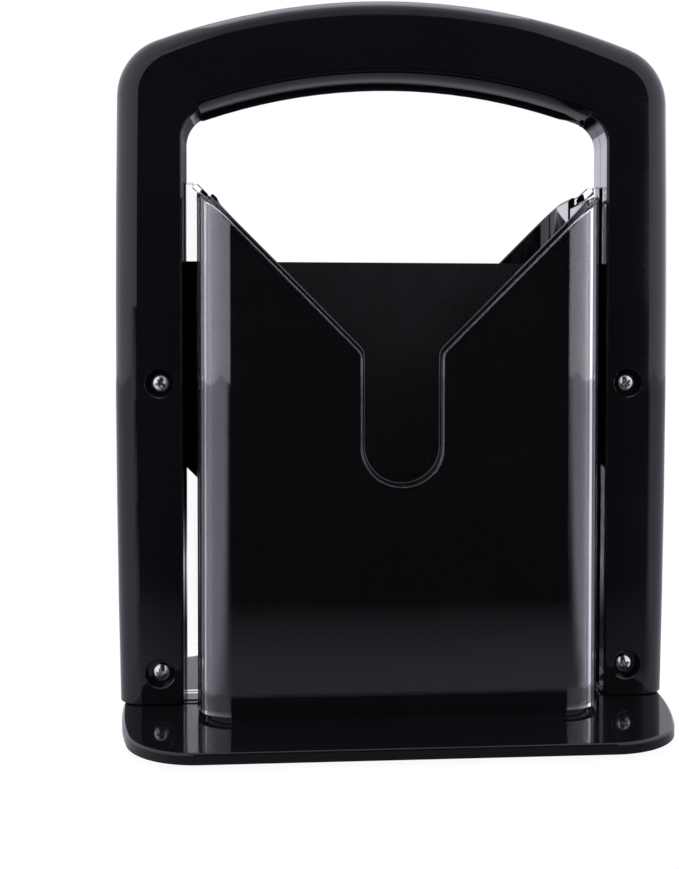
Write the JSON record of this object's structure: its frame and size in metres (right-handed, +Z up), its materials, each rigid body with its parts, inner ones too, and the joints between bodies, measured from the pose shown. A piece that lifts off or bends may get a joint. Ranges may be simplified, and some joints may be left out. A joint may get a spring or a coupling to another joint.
{
  "type": "bagel guillotine slicer",
  "caption": "Upright bagel slicer: a black arch handle with a V blade and clear shields drops over a slotted cradle on a thin base.",
  "frame": {"origin": "on the table, under the middle of the base", "axes": "+Z up along the handle's travel, +X across the arch to the user's right, -Y towards the user"},
  "size_m": [0.1838, 0.11, 0.2355],
  "materials": {
    "black_plastic": "glossy",
    "clear_plastic": "polished clear",
    "coated_blade": "satin non-stick coating",
    "bright_steel": "bright",
    "rubber": "matt"
  },
  "bodies": {
    "cradle_base": {"base_plate": "black_plastic", "front_cradle": "black_plastic", "rear_cradle": "black_plastic", "front_left_cradle_screw": "bright_steel", "front_right_cradle_screw": "bright_steel", "rear_left_cradle_screw": "bright_steel", "rear_right_cradle_screw": "bright_steel", "front_left_foot": "rubber", "front_right_foot": "rubber", "rear_left_foot": "rubber", "rear_right_foot": "rubber"},
    "handle": {"front_arch_shell": "black_plastic", "rear_arch_shell": "black_plastic", "blade": "coated_blade", "front_shield": "clear_plastic", "rear_shield": "clear_plastic", "upper_left_screw": "bright_steel", "upper_right_screw": "bright_steel", "lower_left_screw": "bright_steel", "lower_right_screw": "bright_steel"}
  },
  "joints": [
    {"name": "handle_lift", "type": "slide", "parent": "cradle_base", "child": "handle", "axis": [0, 0, 1], "range_m": [0, 0.175]}
  ]
}
